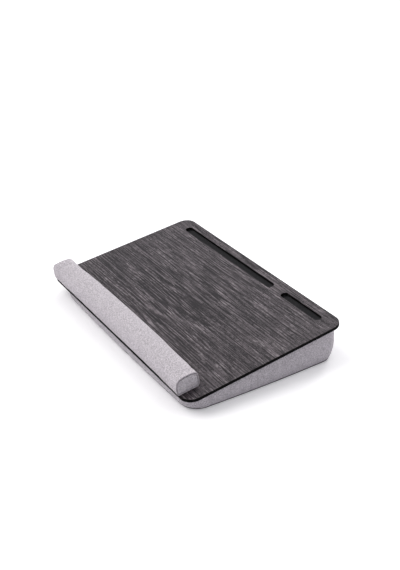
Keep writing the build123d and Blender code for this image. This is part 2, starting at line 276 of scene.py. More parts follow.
# %% Lamps
def soft_sun(name, from_side, strength, disc, tint):
    """A sun lamp from a direction. Its disc, in degrees, sets how soft its shadows are."""
    data = bpy.data.lights.new(name, "SUN")
    data.energy = strength
    data.angle = radians(disc)
    data.color = tint
    lamp = bpy.data.objects.new(name, data)
    lamp.rotation_euler = Vector(from_side).to_track_quat("Z", "Y").to_euler()
    scene.collection.objects.link(lamp)


soft_sun("key_sun", (-0.6, -0.6, 0.95), strength=1.66, disc=45, tint=(1.0, 0.985, 0.975))
soft_sun("back_sun", (0.3, 0.95, 0.35), strength=0.5, disc=40, tint=(0.98, 0.98, 1.0))
soft_sun("sheen_sun", (-0.5, 0.8, 0.5), strength=1.15, disc=22, tint=(1.0, 0.99, 0.98))
print("three suns: key, back and sheen")

# %% [markdown]
# Linen is a plain weave: threads cross over and under each other, and each thread is a little
# thicker or paler than the next, which gives the heathered look. The cloth here has no unwrapped
# pattern, so the weave is worked out from the place in space. Where a face looks along an axis,
# the threads run along the two others, and the face's own direction blends the three cases. The
# effect is a node group, because the cushion, the wrist rest, its end panels, the black lining
# and the zip's tapes all use it.

# %% Linen weave group
thread_pitch = 0.9 * MM
slub_stretch = 0.3
slub_scale = 850.0
slub_share = 0.65
thread_relief = 0.6


def add_three(tree, parts):
    """Adds up three values, one for each axis."""
    two = math_node(tree, "ADD", parts[0], parts[1])
    return math_node(tree, "ADD", two, parts[2])


def thread_shades(tree, place, facing_parts, scale):
    """Uneven threads: noise drawn out along each axis, blended by where the face looks."""
    shades = []
    for axis in range(3):
        stretch = [1.0, 1.0, 1.0]
        stretch[axis] = slub_stretch
        drawn_out = vector_node(tree, "MULTIPLY", place, stretch)
        shade = noise_node(tree, drawn_out, scale, 2.0, 0.6)
        share = math_node(tree, "SUBTRACT", 1.0, facing_parts[axis])
        shades.append(math_node(tree, "MULTIPLY", shade, share))
    return math_node(tree, "MULTIPLY", add_three(tree, shades), 0.5)


def crossings(tree, place, facing_parts, per_thread, shift):
    """Threads over and under each other: products of two waves in the plane of the cloth."""
    turns = tree.nodes.new("ShaderNodeVectorMath")
    turns.operation = "SCALE"
    tree.links.new(place, turns.inputs[0])
    tree.links.new(math_node(tree, "MULTIPLY", per_thread, pi), turns.inputs["Scale"])
    waves = vector_node(tree, "SINE", vector_node(tree, "ADD", turns.outputs["Vector"], shift))
    wave = tree.nodes.new("ShaderNodeSeparateXYZ")
    tree.links.new(waves, wave.inputs[0])
    parts = []
    for axis in range(3):
        warp, weft = wave.outputs[(axis + 1) % 3], wave.outputs[(axis + 2) % 3]
        pair = math_node(tree, "MULTIPLY", warp, weft)
        parts.append(math_node(tree, "MULTIPLY", pair, facing_parts[axis]))
    return add_three(tree, parts)


def build_linen_weave():
    """Outputs: Heather, the threads' shade; Mottle, broad unevenness; Height, for the bump."""
    tree, start, end = new_group(
        "linen_weave",
        {"Thread Pitch": thread_pitch, "Slub": 0.5},
        ("Heather", "Mottle", "Height"),
    )
    coordinates = tree.nodes.new("ShaderNodeTexCoord")
    place, normal = coordinates.outputs["Object"], coordinates.outputs["Normal"]
    facing = tree.nodes.new("ShaderNodeSeparateXYZ")
    tree.links.new(vector_node(tree, "MULTIPLY", normal, normal), facing.inputs[0])
    per_thread = math_node(tree, "DIVIDE", 1.0, start.outputs["Thread Pitch"])

    # Thicker threads, a few millimetres apart, show from further off than single threads do
    heather = thread_shades(tree, place, facing.outputs, per_thread)
    fine = math_node(tree, "MULTIPLY", ramp_node(tree, heather, 0.4, 0.6), 1 - slub_share)
    slubs = ramp_node(tree, thread_shades(tree, place, facing.outputs, slub_scale), 0.44, 0.56)
    shade = math_node(tree, "MULTIPLY_ADD", slubs, slub_share, fine)
    tree.links.new(shade, end.inputs["Heather"])

    shift = math_node(tree, "MULTIPLY", noise_node(tree, place, 180.0, 1.0), start.outputs["Slub"])
    weave = crossings(tree, place, facing.outputs, per_thread, shift)
    rise = math_node(tree, "MULTIPLY", weave, 1 - thread_relief)
    height = math_node(tree, "MULTIPLY_ADD", heather, thread_relief, rise)
    tree.links.new(height, end.inputs["Height"])
    broad = noise_node(tree, place, 55.0, 3.0, 0.6)
    tree.links.new(ramp_node(tree, broad, 0.3, 0.7), end.inputs["Mottle"])
    return tree


linen_weave = build_linen_weave()
print("linen weave:", len(linen_weave.nodes), "nodes")

# %% [markdown]
# Things that are used pick up fine dust and the marks of hands. It could be painted where hands
# go, but the tray has no such place: the whole board is leaned on. So one soft mask from two
# noises, broad smudges and tiny specks, lifts the roughness and pales the colour a little on the
# board, the edge band and the zip's metal. It is a group too.

# %% Handling marks group
speck_scale = 30.0


def build_handling_marks():
    """Output: Marks, from 0 on a clean place to 1 on a dusty or rubbed one."""
    tree, start, end = new_group("handling_marks", {"Scale": 18.0, "Amount": 0.5}, ("Marks",))
    place = tree.nodes.new("ShaderNodeTexCoord").outputs["Object"]
    broad = noise_node(tree, place, start.outputs["Scale"], 4.0, 0.65)
    fine_scale = math_node(tree, "MULTIPLY", start.outputs["Scale"], speck_scale)
    smudge = ramp_node(tree, broad, 0.45, 0.75)
    dust = ramp_node(tree, noise_node(tree, place, fine_scale, 1.0), 0.66, 0.8)
    both = math_node(tree, "MAXIMUM", smudge, dust)
    marks = math_node(tree, "MULTIPLY", both, start.outputs["Amount"])
    tree.links.new(marks, end.inputs["Marks"])
    return tree


handling_marks = build_handling_marks()
print("handling marks:", len(handling_marks.nodes), "nodes")

# %% [markdown]
# A finish is one material around one Principled shader. What is the same all over, such as a
# plain gloss, is set on the shader itself. What changes from place to place comes from a group or
# from noise, and fine relief goes in as a bump, which bends the light without moving the surface.

# %% Helpers for finishes
def new_finish(name, roughness):
    """A material with its Principled shader and a constant roughness to start from."""
    finish = bpy.data.materials.new(name)
    finish.use_nodes = True
    shader = finish.node_tree.nodes["Principled BSDF"]
    shader.inputs["Roughness"].default_value = roughness
    return finish, finish.node_tree, shader


def place_group(tree, group, **values):
    """Puts a node group into a material and sets its inputs."""
    node = tree.nodes.new("ShaderNodeGroup")
    node.node_tree = group
    for label, value in values.items():
        node.inputs[label.replace("_", " ")].default_value = value
    return node


def bump_node(tree, height, distance, strength):
    """Turns a height into a bent normal."""
    bump = tree.nodes.new("ShaderNodeBump")
    bump.inputs["Distance"].default_value = distance
    bump.inputs["Strength"].default_value = strength
    feed(tree, height, bump.inputs["Height"])
    return bump.outputs["Normal"]


print("helpers for finishes ready")

# %% [markdown]
# Each cloth is the same weave in its own two shades. The wrist rest and its end panels are of the
# cushion's linen: the rest's shades are paler, a painted highlight for its lit top and front, and
# the end panels' shades are darker, a painted shade on the ends. The black lining and the zip's
# tapes are woven finer.
# Linen scatters light at its edges, so it gets a little sheen and hardly any gloss. Real threads
# could be modelled for a close-up, but at this distance they are finer than a pixel and a bump
# shows them as well.

# %% Cloth finishes
cloth_sheen = 0.1
cloth_relief = 0.35 * MM
mottle_share = 0.3


def cloth_finish(name, dark, light, pitch, bump):
    """Woven cloth: two shades by thread, a broad unevenness, a soft sheen and the weave."""
    finish, tree, shader = new_finish(name, 0.92)
    weave = place_group(tree, linen_weave, Thread_Pitch=pitch)
    threads = blend_node(tree, weave.outputs["Heather"], dark, light)
    middle = [(low + high) / 2 for low, high in zip(dark, light)]
    share = math_node(tree, "MULTIPLY", weave.outputs["Mottle"], mottle_share)
    feed(tree, blend_node(tree, share, threads, middle), shader.inputs["Base Color"])
    relief = bump_node(tree, weave.outputs["Height"], cloth_relief, bump)
    feed(tree, relief, shader.inputs["Normal"])
    shader.inputs["Sheen Weight"].default_value = cloth_sheen
    shader.inputs["Sheen Roughness"].default_value = 0.6
    shader.inputs["Specular IOR Level"].default_value = 0.15
    return finish


cushion_linen = cloth_finish(
    "cushion_linen",
    dark=(0.36, 0.335, 0.36, 1),
    light=(0.80, 0.755, 0.80, 1),
    pitch=thread_pitch,
    bump=0.9,
)
# Paler than the cushion's linen: a painted highlight, the same cloth lit on the rest's top and
# front
rest_linen = cloth_finish(
    "rest_linen",
    dark=(0.38, 0.35, 0.375, 1),
    light=(0.865, 0.815, 0.855, 1),
    pitch=thread_pitch,
    bump=0.9,
)
# Darker than the cushion's linen: a painted shade on the rest's ends, the same cloth
rest_end_linen = cloth_finish(
    "rest_end_linen",
    dark=(0.34, 0.315, 0.335, 1),
    light=(0.76, 0.72, 0.76, 1),
    pitch=thread_pitch,
    bump=0.9,
)
black_lining = cloth_finish(
    "black_lining",
    dark=(0.006, 0.006, 0.007, 1),
    light=(0.028, 0.028, 0.03, 1),
    pitch=0.6 * MM,
    bump=0.5,
)
zip_tape_cloth = cloth_finish(
    "zip_tape",
    dark=(0.20, 0.195, 0.21, 1),
    light=(0.34, 0.33, 0.345, 1),
    pitch=0.5 * MM,
    bump=0.5,
)
print("five cloths, threads", round(thread_pitch / MM, 2), "mm apart in the linens")

# %% [markdown]
# The board is fibreboard with a printed wood-grain sheet on top, in charcoal oak. Its grain runs
# across the tray. Up close it is three things: fine dark streaks, pale lines that short ticks
# break up like the pores of sawn oak, and patches where those lines gather. A picture of oak laid
# on the board would repeat and go soft close up. Here each part is a noise texture, drawn out by
# one scale along the grain and another across it. The sheet is pressed, not varnished, so it is
# satin and its streaks can be felt.

# %% Wood-grain sheet
grain_bend = 4 * MM
oak_dark = (0.010, 0.008, 0.009, 1)
oak_middle = (0.080, 0.068, 0.074, 1)
oak_pale = (0.36, 0.318, 0.335, 1)


def drawn(tree, source, along, across, detail, roughness):
    """Noise drawn out by one scale along the grain and another across it."""
    stretched = vector_node(tree, "MULTIPLY", source, (along, across, across))
    return noise_node(tree, stretched, 1.0, detail, roughness)


def nudged(tree, value, other, amount):
    """Raises or lowers a value by how far another one is from its middle."""
    off_middle = math_node(tree, "SUBTRACT", other, 0.5)
    return math_node(tree, "MULTIPLY_ADD", off_middle, amount, value)


def oak_ground(tree, place, streaks, bent):
    """Fine dark streaks, made uneven by grit, by mottle and by the width of the planks."""
    shade = nudged(tree, streaks, drawn(tree, place, 330.0, 420.0, 1.0, 0.5), 0.45)
    shade = nudged(tree, shade, drawn(tree, place, 40.0, 90.0, 4.0, 0.6), 0.15)
    shade = nudged(tree, shade, drawn(tree, bent, 0.8, 11.0, 2.0, 0.5), 0.25)
    return blend_node(tree, ramp_node(tree, shade, 0.445, 0.59), oak_dark, oak_middle)


def oak_figure(tree, place, bent):
    """The pale figure: lines broken by ticks and gathered in patches, and a few long ones."""
    fine_lines = ramp_node(tree, drawn(tree, bent, 19.0, 400.0, 2.0, 0.6), 0.53, 0.59)
    ticks = ramp_node(tree, drawn(tree, place, 110.0, 130.0, 2.0, 0.7), 0.4, 0.58)
    patches = ramp_node(tree, drawn(tree, place, 16.0, 26.0, 3.0, 0.6), 0.45, 0.6)
    broken = math_node(tree, "MULTIPLY_ADD", ticks, 0.7, 0.3)
    gathered = math_node(tree, "MULTIPLY_ADD", patches, 0.48, 0.44)
    lines = math_node(tree, "MULTIPLY", math_node(tree, "MULTIPLY", fine_lines, broken), gathered)
    wide = math_node(tree, "SUBTRACT", drawn(tree, bent, 0.12, 15.0, 1.0, 0.5), 0.5)
    crest = math_node(tree, "SUBTRACT", 0.5, math_node(tree, "ABSOLUTE", wide))
    long_lines = math_node(tree, "MULTIPLY", ramp_node(tree, crest, 0.495, 0.499), 0.28)
    return math_node(tree, "MAXIMUM", lines, long_lines)


def wood_grain_finish():
    """Charcoal oak print on the board."""
    finish, tree, shader = new_finish("wood_grain_laminate", 0.5)
    shader.inputs["Specular IOR Level"].default_value = 0.2
    place = tree.nodes.new("ShaderNodeTexCoord").outputs["Object"]
    swirl = drawn(tree, place, 5.0, 14.0, 3.0, 0.55)
    bent = vector_node(tree, "ADD", place, math_node(tree, "MULTIPLY", swirl, grain_bend))
    streaks = drawn(tree, bent, 15.0, 400.0, 3.0, 0.6)
    ground = oak_ground(tree, place, streaks, bent)
    figure = oak_figure(tree, place, bent)
    figured = blend_node(tree, math_node(tree, "MULTIPLY", figure, 0.74), ground, oak_pale)
    marks = place_group(tree, handling_marks, Scale=9.0, Amount=0.15).outputs["Marks"]
    dusty = blend_node(tree, math_node(tree, "MULTIPLY", marks, 0.2), figured, oak_pale)
    feed(tree, dusty, shader.inputs["Base Color"])
    rough = math_node(tree, "MULTIPLY_ADD", streaks, 0.16, 0.34)
    feed(tree, math_node(tree, "ADD", rough, marks), shader.inputs["Roughness"])
    relief = math_node(tree, "SUBTRACT", streaks, math_node(tree, "MULTIPLY", figure, 0.5))
    feed(tree, bump_node(tree, relief, 0.2 * MM, 0.35), shader.inputs["Normal"])
    return finish


wood_grain_laminate = wood_grain_finish()
print("wood grain:", len(wood_grain_laminate.node_tree.nodes), "nodes")

# %% [markdown]
# Some pieces are of an even stuff: the fibreboard core, which shows only inside the slots and is
# painted black there, the sheet under the board, the black band round its edge, and the nylon of
# the zip's coils. A single flat colour would look like a gap in the picture. Each gets a fine
# two-tone speckle, the small unevenness that its making leaves, and the two blacks hardly
# reflect, so that they stay dark in a white room.

# %% Board core, backing, edge band and coils
def speckled_finish(name, dark, light, scale, roughness, bump, gloss=0.5):
    """An even stuff with a fine two-tone speckle, such as painted fibreboard or nylon."""
    finish, tree, shader = new_finish(name, roughness)
    shader.inputs["Specular IOR Level"].default_value = gloss
    place = tree.nodes.new("ShaderNodeTexCoord").outputs["Object"]
    speckle = noise_node(tree, place, scale, 4.0, 0.6)
    marks = place_group(tree, handling_marks, Scale=25.0, Amount=0.3).outputs["Marks"]
    mixed = blend_node(tree, ramp_node(tree, speckle, 0.35, 0.65), dark, light)
    dusty = blend_node(tree, math_node(tree, "MULTIPLY", marks, 0.2), mixed, light)
    feed(tree, dusty, shader.inputs["Base Color"])
    rough = math_node(tree, "MULTIPLY_ADD", marks, 0.3, roughness)
    feed(tree, rough, shader.inputs["Roughness"])
    feed(tree, bump_node(tree, speckle, 0.1 * MM, bump), shader.inputs["Normal"])
    return finish


board_core = speckled_finish(
    "board_core",
    dark=(0.005, 0.005, 0.005, 1),
    light=(0.012, 0.0115, 0.0115, 1),
    scale=900.0,
    roughness=0.7,
    bump=0.4,
    gloss=0.02,
)
board_backing = speckled_finish(
    "board_backing",
    dark=(0.02, 0.02, 0.021, 1),
    light=(0.04, 0.039, 0.04, 1),
    scale=500.0,
    roughness=0.6,
    bump=0.3,
)
edge_band = speckled_finish(
    "edge_band",
    dark=(0.002, 0.002, 0.002, 1),
    light=(0.005, 0.0048, 0.005, 1),
    scale=300.0,
    roughness=0.5,
    bump=0.15,
    gloss=0.02,
)
zip_coil = speckled_finish(
    "zip_coil",
    dark=(0.17, 0.165, 0.175, 1),
    light=(0.26, 0.25, 0.265, 1),
    scale=1500.0,
    roughness=0.38,
    bump=0.1,
)
print("four plain finishes")

# %% [markdown]
# Hook-and-loop tape is a field of tiny hooks against a field of tiny loops. Modelled one by one
# they would be tens of thousands of wires that nobody sees. A cell texture gives each tuft one
# cell, with a painted highlight at its tip and painted shade between the tufts, and its bump
# raises it. The loops lie over in one direction, so their cells are drawn out.

# %% Hook and loop strips
def pile_finish(name, dark, light, scale, stretch, bump):
    """Short pile seen from above: tiny loops or hooks in rows."""
    finish, tree, shader = new_finish(name, 0.85)
    place = tree.nodes.new("ShaderNodeTexCoord").outputs["Object"]
    cells = tree.nodes.new("ShaderNodeTexVoronoi")
    feed(tree, vector_node(tree, "MULTIPLY", place, stretch), cells.inputs["Vector"])
    cells.inputs["Scale"].default_value = scale
    tuft = math_node(tree, "SUBTRACT", 1.0, cells.outputs["Distance"])
    # Painted highlight on each tuft's tip, painted shade in the gaps between tufts
    shade = blend_node(tree, ramp_node(tree, tuft, 0.2, 1.0), dark, light)
    feed(tree, shade, shader.inputs["Base Color"])
    feed(tree, bump_node(tree, tuft, 0.5 * MM, bump), shader.inputs["Normal"])
    shader.inputs["Sheen Weight"].default_value = 0.3
    return finish


hook_tape = pile_finish(
    "hook_tape",
    dark=(0.006, 0.006, 0.007, 1),
    light=(0.05, 0.05, 0.052, 1),
    scale=900.0,
    stretch=(1.0, 1.0, 1.0),
    bump=0.9,
)
loop_tape = pile_finish(
    "loop_tape",
    dark=(0.02, 0.02, 0.022, 1),
    light=(0.09, 0.088, 0.092, 1),
    scale=600.0,
    stretch=(1.0, 1.6, 1.6),
    bump=0.7,
)
print("hooks and loops finished")

# %% [markdown]
# The slider, its pull and the stops are small castings with a dull nickel plating. A mirror
# finish would look new from the mould. Tumbling in the factory leaves fine scratches in one
# direction, and use leaves dull darker places, so a drawn-out noise sets the shade and the
# handling marks the roughness.

# %% Zip metal
def metal_finish():
    """Dull nickel with fine scratches, duller and darker where it is handled."""
    finish, tree, shader = new_finish("zip_metal", 0.32)
    shader.inputs["Metallic"].default_value = 1.0
    place = tree.nodes.new("ShaderNodeTexCoord").outputs["Object"]
    brushed = vector_node(tree, "MULTIPLY", place, (300.0, 300.0, 4000.0))
    scratches = noise_node(tree, brushed, 1.0, 2.0)
    marks = place_group(tree, handling_marks, Scale=120.0, Amount=0.6).outputs["Marks"]
    bright = blend_node(tree, scratches, (0.42, 0.41, 0.41, 1), (0.62, 0.61, 0.60, 1))
    shade = blend_node(tree, marks, bright, (0.30, 0.29, 0.29, 1))
    feed(tree, shade, shader.inputs["Base Color"])
    rough = math_node(tree, "MULTIPLY_ADD", marks, 0.35, 0.24)
    feed(tree, rough, shader.inputs["Roughness"])
    feed(tree, bump_node(tree, scratches, 0.03 * MM, 0.3), shader.inputs["Normal"])
    return finish


zip_metal = metal_finish()
print("zip metal:", len(zip_metal.node_tree.nodes), "nodes")

# %% [markdown]
# The rigid pieces come finished in shape from the frame: they were built to fit each other, and a
# copy made by eye would only fit worse. So they stay as they are and get their finishes here, one
# line for each piece.

# %% Finishes on the frame's own pieces
node_finishes = {
    "deck_laminate": wood_grain_laminate,
    "deck_core": board_core,
    "deck_backing": board_backing,
    "deck_edge_band": edge_band,
    "deck_hook_strips": hook_tape,
    "rest_hook_strips": hook_tape,
    "cushion_loop_strips": loop_tape,
    "rest_loop_strips": loop_tape,
    "zipper_tapes": zip_tape_cloth,
    "zipper_stops": zip_metal,
    "zipper_slider": zip_metal,
    "zipper_pull_tab": zip_metal,
}
for node_name, finish in node_finishes.items():
    for slot in frame["nodes"][node_name].material_slots:
        slot.material = finish
print(len(node_finishes), "frame pieces finished")

# %% [markdown]
# A saw or a press leaves no knife edge on a board. A bevel modifier a quarter of a millimetre
# wide catches the light along the slots and leaves a hairline between the grain sheet and its
# edge band. The zip's pull and stops are rounded in the same way. The frame's own meshes stay as
# they are.

# %% Fine edges
eased_edges = {
    "deck_laminate": 0.25 * MM,
    "zipper_pull_tab": 0.2 * MM,
    "zipper_stops": 0.3 * MM,
}
for node_name, width in eased_edges.items():
    bevel = frame["nodes"][node_name].modifiers.new("eased_edges", "BEVEL")
    bevel.width = width
    bevel.segments = 2
    bevel.limit_method = "ANGLE"
    bevel.angle_limit = radians(50)
print(len(eased_edges), "pieces with eased edges")

# %% [markdown]
# The cushion is a wedge with one long sewn band round its sides. The board stands out over its
# walls by a few millimetres, so its size follows from the board. Its front left corner is rounder
# than the others, and its front wall leans in towards the floor, as a soft filling settles.

# %% Measures of the cushion
board_depth = 350 * MM
board_thickness = 6 * MM
strip_gap = 2 * MM
front_overhang = 6 * MM
back_overhang = 3 * MM
half_width = 264 * MM
side_shift = 3 * MM
front_wall = board_front.y + front_overhang
back_wall = board_front.y + board_depth * board_back.y - back_overhang
front_corner = 38 * MM
left_front_corner = 60 * MM
back_corner = 28 * MM
left_tuck = 4 * MM
front_lean = 4.6 * MM
side_bow = 3 * MM
band_crown = 1.5 * MM
back_crown = 2.3 * MM


def underside(y, drop):
    """Height of the plane that lies drop under the board's top, at a place from front to back."""
    return board_front.z - drop / board_back.y + (y - board_front.y) * slope


print("cushion", round(2 * half_width, 3), "m wide,", round(back_wall - front_wall, 3), "m deep")

# %% [markdown]
# Seen from above the cushion's outline is a rounded rectangle whose sides bow out a little,
# because the filling pushes hardest in the middle of each side. The same outline serves the band,
# the welt, the lining and the base panel, each at its own height and a little in or out, so it is
# one function. It could be a curve object, but a function can walk round at an even step, and
# that keeps the cloth's mesh cells square.

# %% Outline of the cushion
def bow_out(start, end, amount, along):
    """A point on a side that bows out: start and end are its ends, along runs from 0 to 1."""
    side = end - start
    outward = Vector((side.y, -side.x)).normalized()
    return start + side * along + outward * amount * (1 - (2 * along - 1) ** 2)


def cushion_sides(share, inset, bow, back_inset):
    """Sides and corner arcs at a share of the cushion's height, from the middle of its back."""
    crown = 4 * share * (1 - share)
    right = side_shift + half_width + band_crown * crown - inset
    left = 2 * side_shift - right + left_tuck
    front = front_wall + front_lean * (1 - share) - band_crown * crown + inset
    back = back_wall + back_crown * crown - back_inset
    far = back_corner + back_inset - 2 * inset
    corners = [
        (left, back, 1, -1, far, pi / 2),
        (left, front, 1, 1, left_front_corner - inset, pi),
        (right, front, -1, 1, front_corner - inset, 3 * pi / 2),
        (right, back, -1, -1, far, 2 * pi),
    ]
    middle = Vector((side_shift, back))
    pieces = []
    here = middle
    for place, (x, y, inward, along, radius, turn) in enumerate(corners):
        centre = Vector((x + inward * radius, y + along * radius))
        arc_start = centre + radius * Vector((cos(turn), sin(turn)))
        pieces.append(("side", here, arc_start, bow if place else 0))
        pieces.append(("arc", centre, turn, radius))
        here = centre + radius * Vector((cos(turn + pi / 2), sin(turn + pi / 2)))
    pieces.append(("side", here, middle, 0))
    return pieces


def cushion_ring(count, share, inset, bow, back_inset=None):
    """Points at an even step round the cushion. The back may be drawn in by its own amount."""
    pieces = cushion_sides(share, inset, bow, inset if back_inset is None else back_inset)
    lengths = [(b - a).length if kind == "side" else c * pi / 2 for kind, a, b, c in pieces]
    total = sum(lengths)
    ring = []
    piece = 0
    passed = 0.0
    for step in range(count):
        target = total * step / count
        while target > passed + lengths[piece] and piece < len(pieces) - 1:
            passed += lengths[piece]
            piece += 1
        along = (target - passed) / lengths[piece]
        kind, a, b, c = pieces[piece]
        if kind == "side":
            ring.append(bow_out(a, b, c, along))
        else:
            ring.append(a + c * Vector((cos(b + along * pi / 2), sin(b + along * pi / 2))))
    return ring


print("outline has", len(cushion_sides(0.5, 0.0, side_bow, 0.0)), "sides and arcs")

# %% [markdown]
# Every sewn piece here is built from rows of points that run round it, joined by four-sided
# faces. The rows lie where the maker's seams and folds are, which a block shaped by hand would
# not give. One subdivision, written into the mesh, then rounds it.

# %% Helpers for sewn pieces
def mesh_piece(name, points, faces, finish):
    """A new object with smooth faces and one finish."""
    mesh = bpy.data.meshes.new(name)
    mesh.from_pydata([tuple(point) for point in points], [], faces)
    mesh.validate()
    mesh.materials.append(finish)
    mesh.polygons.foreach_set("use_smooth", [True] * len(mesh.polygons))
    piece = bpy.data.objects.new(name, mesh)
    scene.collection.objects.link(piece)
    return piece


def ring_faces(rows, count):
    """Four-sided faces between neighbouring rows of count points that run round."""
    faces = []
    for row in range(rows - 1):
        low, high = row * count, (row + 1) * count
        for step in range(count):
            after = (step + 1) % count
            faces.append((low + step, low + after, high + after, high + step))
    return faces


def smoothed(piece):
    """One subdivision, written into the mesh."""
    rounder = piece.modifiers.new("rounder", "SUBSURF")
    rounder.levels = 1
    rounder.render_levels = 1
    solved = piece.evaluated_get(bpy.context.evaluated_depsgraph_get())
    mesh = bpy.data.meshes.new_from_object(solved)
    piece.modifiers.remove(rounder)
    old = piece.data
    piece.data = mesh
    bpy.data.meshes.remove(old)


def along_profile(profile, share):
    """A value from a short list of (share, value) pairs, with straight runs between them."""
    for (low, first), (high, second) in zip(profile, profile[1:]):
        if share <= high:
            return first + (second - first) * (share - low) / (high - low)
    return profile[-1][1]


print("helpers for sewn pieces ready")

# %% [markdown]
# Cloth that is sewn shut over a filling swells between its seams and stays put at them. Scaling
# the points outwards would puff the seams too. The cloth solver does what the filling does: the
# rows of points at the seams are pinned, pressure pushes from inside, gravity is off, and twenty
# frames are enough for it to come to rest. Each point's move is then capped, so that the piece
# keeps the room that its frame solid has, and the result is written back into the mesh.

# %% Swelling cloth
swell_frames = 20


def inflate(piece, pinned, pressure, most, shrink):
    """Lets the cloth swell, and no point further than most."""
    held = piece.vertex_groups.new(name="sewn")
    held.add(pinned, 1.0, "REPLACE")
    cloth = piece.modifiers.new("swell", "CLOTH")
    settings = cloth.settings
    settings.vertex_group_mass = "sewn"
    settings.quality = 3
    settings.mass = 0.25
    settings.tension_stiffness = 25
    settings.compression_stiffness = 12
    settings.shear_stiffness = 6
    settings.bending_stiffness = 0.4
    settings.use_pressure = True
    settings.uniform_pressure_force = pressure
    settings.shrink_min = shrink
    settings.effector_weights.gravity = 0
    cloth.collision_settings.use_collision = False
    before = [vertex.co.copy() for vertex in piece.data.vertices]
    for number in range(1, swell_frames + 1):
        scene.frame_set(number)
    solved = piece.evaluated_get(bpy.context.evaluated_depsgraph_get())
    after = [vertex.co.copy() for vertex in solved.data.vertices]
    piece.modifiers.remove(cloth)
    piece.vertex_groups.remove(held)
    scene.frame_set(1)
    farthest = 0.0
    for vertex, old, new in zip(piece.data.vertices, before, after):
        move = new - old
        if move.length > most:
            move.length = most
        farthest = max(farthest, move.length)
        vertex.co = old + move
    return farthest


print("cloth swells for", swell_frames, "frames")

# %% [markdown]
# The cover of the cushion is the band round its sides, from the seam at its foot to the welt at
# its top. Its rows of points are given as shares of the height, closer together where the cloth
# rolls in to a seam. The cloth is a little too full for its seams, which gives shallow gathers,
# and its own swelling rounds the sides. The zip needs a straight opening in the back, so two of
# the rows lie at its edges, and its cells are taken out last.

# %% Cushion cover
ring_count = 288
cover_drop = board_thickness + strip_gap
base_rise = 2.0 * MM
swell_room = 0.8 * MM
seam_rows = [(0.0, 3.0 * MM), (0.0, 0.6 * MM), (0.015, -0.2 * MM)]
band_shares = [
    0.055, 0.1, 0.17, 0.25, 0.335, 0.42, 0.5, 0.58, 0.67, 0.76, 0.84, 0.91, 0.96, 1.0,
]
edge_rolls = [
    (0.0, 2.2), (0.04, 0.3), (0.1, -0.7), (0.25, -0.7), (0.5, 0.0), (0.7, 0.0), (0.9, 0.6),
    (1.0, 2.0),
]
back_rolls = [
    (0.0, 5.0), (0.05, 2.5), (0.14, 1.0), (0.32, 0.0), (0.7, 0.0), (0.9, 0.6), (1.0, 1.8),
]
bow_profile = [
    (0.0, 0.8), (0.1, 1.0), (0.35, 0.95), (0.5, 0.8), (0.7, 0.5), (0.9, 0.15), (1.0, 0.0),
]


def cover_row(share, extra):
    """A row of points round the cushion, at a share of its height, drawn in by extra."""
    roll = along_profile(edge_rolls, share) * MM + extra
    back_roll = along_profile(back_rolls, share) * MM + extra
    bow = along_profile(bow_profile, share) * side_bow
    row = []
    for point in cushion_ring(ring_count, share, roll, bow, back_roll):
        top = underside(point.y, cover_drop)
        row.append(Vector((point.x, point.y, base_rise + share * (top - base_rise))))
    return row


cover_points = []
for share, groove in seam_rows:
    cover_points.extend(cover_row(share, groove))
for share in band_shares:
    cover_points.extend(cover_row(share, swell_room if share < 1 else 0.0))
row_count = len(seam_rows) + len(band_shares)
cushion_cover = mesh_piece(
    "cushion_cover", cover_points, ring_faces(row_count, ring_count), cushion_linen
)
band_start = len(seam_rows) * ring_count
band_end = (row_count - 1) * ring_count
sewn_points = list(range(band_start)) + list(range(band_end, row_count * ring_count))
swell = inflate(cushion_cover, sewn_points, pressure=5.0, most=2.6 * MM, shrink=-0.012)
print("cushion cover:", len(cover_points), "points, swells", round(swell / MM, 2), "mm")

# %% [markdown]
# Where a seam is pulled tight the cloth gathers in small folds that die away within a finger's
# width. They could be sculpted one by one. Here each point near the welt and near the bottom seam
# is moved in and out by smooth noise that changes quickly along the seam and slowly across it, so
# every fold runs into its seam.

# %% Gathers
gather_depth = 0.35 * MM
gather_reach = 14 * MM
folds_along = 95
folds_across = 18


def gather(piece, points):
    """Moves points near the two seams along their normals."""
    mesh = piece.data
    normals = [vertex.normal.copy() for vertex in mesh.vertices]
    for number in points:
        vertex = mesh.vertices[number]
        x, y, z = vertex.co
        near = min(abs(z - base_rise), abs(z - underside(y, cover_drop)))
        fade = max(0.0, 1 - near / gather_reach) ** 2
        fold = noise.noise(Vector((x * folds_along, y * folds_along, z * folds_across)))
        vertex.co += normals[number] * fold * fade * gather_depth


gather(cushion_cover, range(band_start, band_end))
print("gathers reach", round(gather_reach / MM), "mm from the seams")

# %% [markdown]
# The zip sits in the middle of the band's back, so the cover comes off for washing. Its opening
# is cut where the maker cuts it: the cells between two rows of points go, and their edge is
# turned inwards, as the band's two halves are folded where the tapes are sewn in. The swollen
# cloth dips a little there, and the zip's tape would poke through the dip, so the cloth is first
# held just outside the tape.

# %% Zip opening
zip_box_low, zip_box_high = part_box("zipper_tapes")
zip_middle_z = (zip_box_low[2] + zip_box_high[2]) / 2
zip_half_length = (zip_box_high[0] - zip_box_low[0]) / 2
zip_half_height = 5.5 * MM
zip_end_run = 4 * MM
tape_clearance = 0.8 * MM
back_zone = 4 * MM
turned_in = 1.7 * MM


def hold_over_tape(piece):
    """Keeps the cloth round the zip outside its tape, as the rows of stitches do."""
    tape_face = zip_box_high[1] + tape_clearance
    held = 0
    for vertex in piece.data.vertices:
        along = abs(vertex.co.x - side_shift) < zip_half_length + zip_end_run
        across = abs(vertex.co.z - zip_middle_z) < 3 * zip_half_height
        if vertex.co.y > 0 and along and across and vertex.co.y < tape_face:
            vertex.co.y = tape_face
            held += 1
    return held


def opening_rows():
    """The rows of cells whose middle, at the back, lies inside the opening's height."""
    column = max(range(ring_count), key=lambda number: cover_points[number].y)
    heights = [cover_points[row * ring_count + column].z for row in range(row_count)]
    rows = []
    for row, (low, high) in enumerate(zip(heights, heights[1:])):
        if abs((low + high) / 2 - zip_middle_z) < zip_half_height:
            rows.append(row)
    return rows


